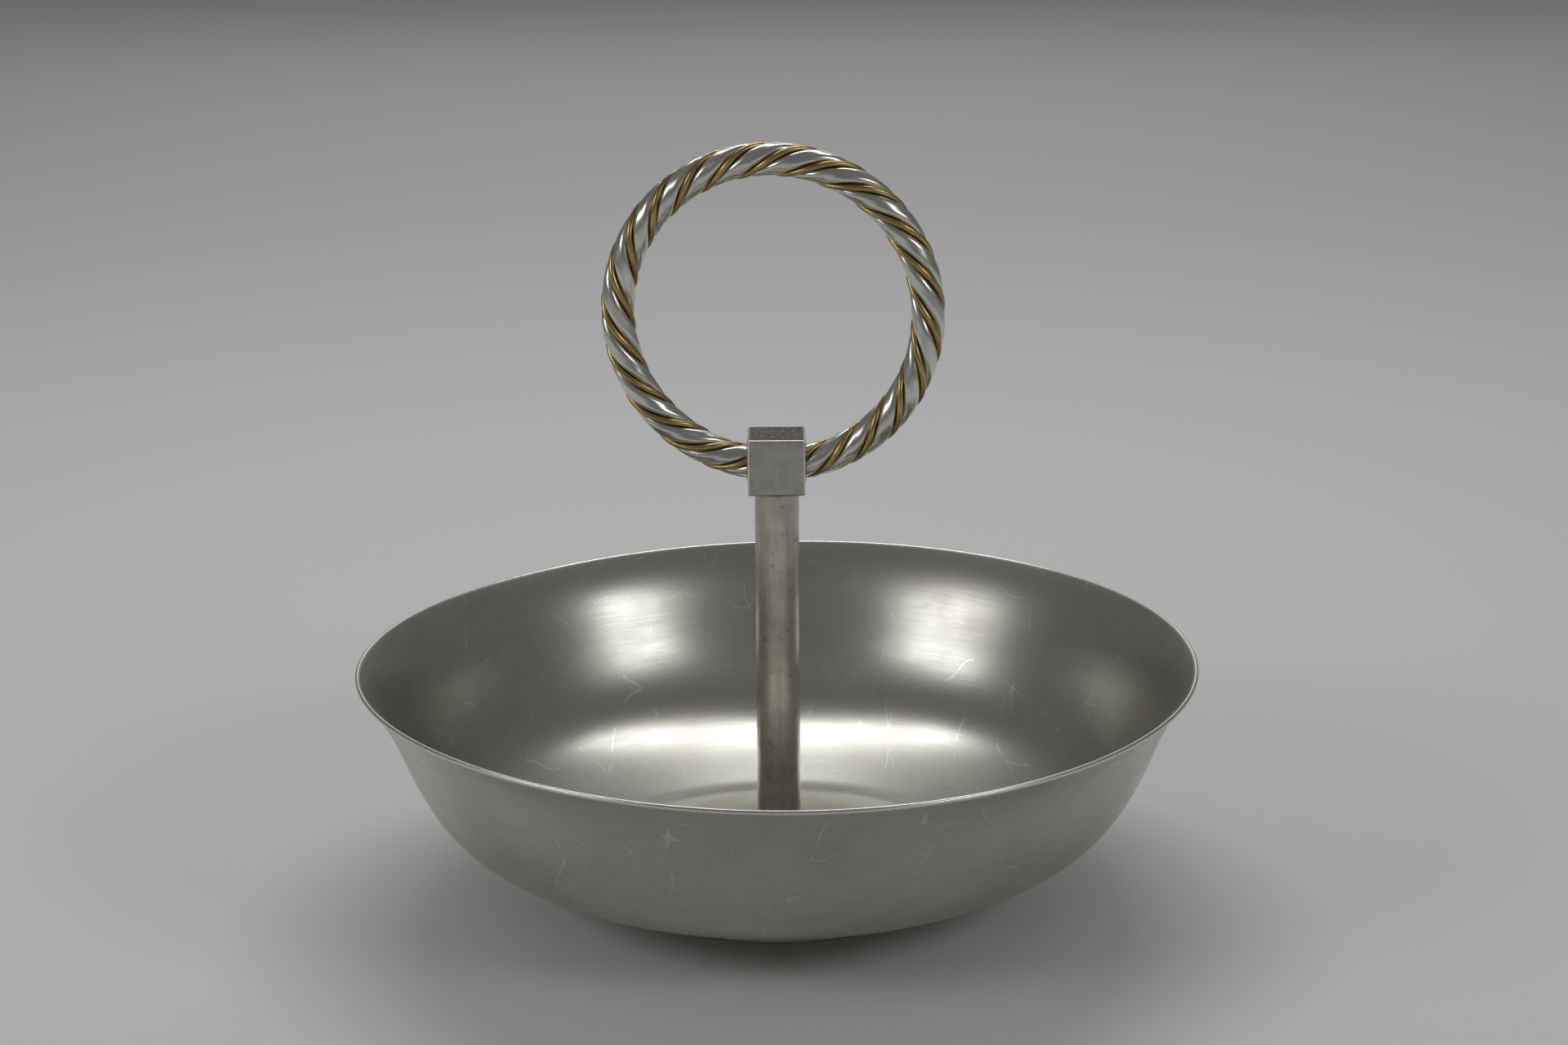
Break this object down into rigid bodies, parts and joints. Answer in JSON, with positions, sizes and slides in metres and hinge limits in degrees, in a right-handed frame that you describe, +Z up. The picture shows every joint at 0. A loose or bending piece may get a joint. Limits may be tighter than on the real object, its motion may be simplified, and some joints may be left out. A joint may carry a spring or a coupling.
{
  "type": "bowl",
  "caption": "Round flared pewter bowl on a low foot ring, with a centre post, a square collar block and an upright ring handle twisted from pewter strands and brass wires.",
  "frame": {"origin": "on the surface it stands on, under the middle of the bowl and the foot ring", "axes": "+Z up along the post, -Y towards the front of the pictured view, +X to its right"},
  "size_m": [0.29, 0.29, 0.2622],
  "materials": {
    "bowl_pewter": "satin pewter with fine turning marks",
    "post_pewter": "darker pitted pewter bar",
    "block_pewter": "satin pewter, smudged, with bright worn edges",
    "strand_pewter": "bright satin pewter wire",
    "wire_brass": "aged brass wire with worn highlights",
    "fixing_steel": "plain turned steel"
  },
  "bodies": {
    "root": {"bowl_shell": "bowl_pewter", "foot_ring": "bowl_pewter", "post": "post_pewter", "collar_block": "block_pewter", "ring_strand_1": "strand_pewter", "ring_strand_2": "strand_pewter", "ring_strand_3": "strand_pewter", "groove_wire_1": "wire_brass", "groove_wire_2": "wire_brass", "groove_wire_3": "wire_brass", "fixing_washer": "fixing_steel", "fixing_screw": "fixing_steel"}
  },
  "joints": []
}
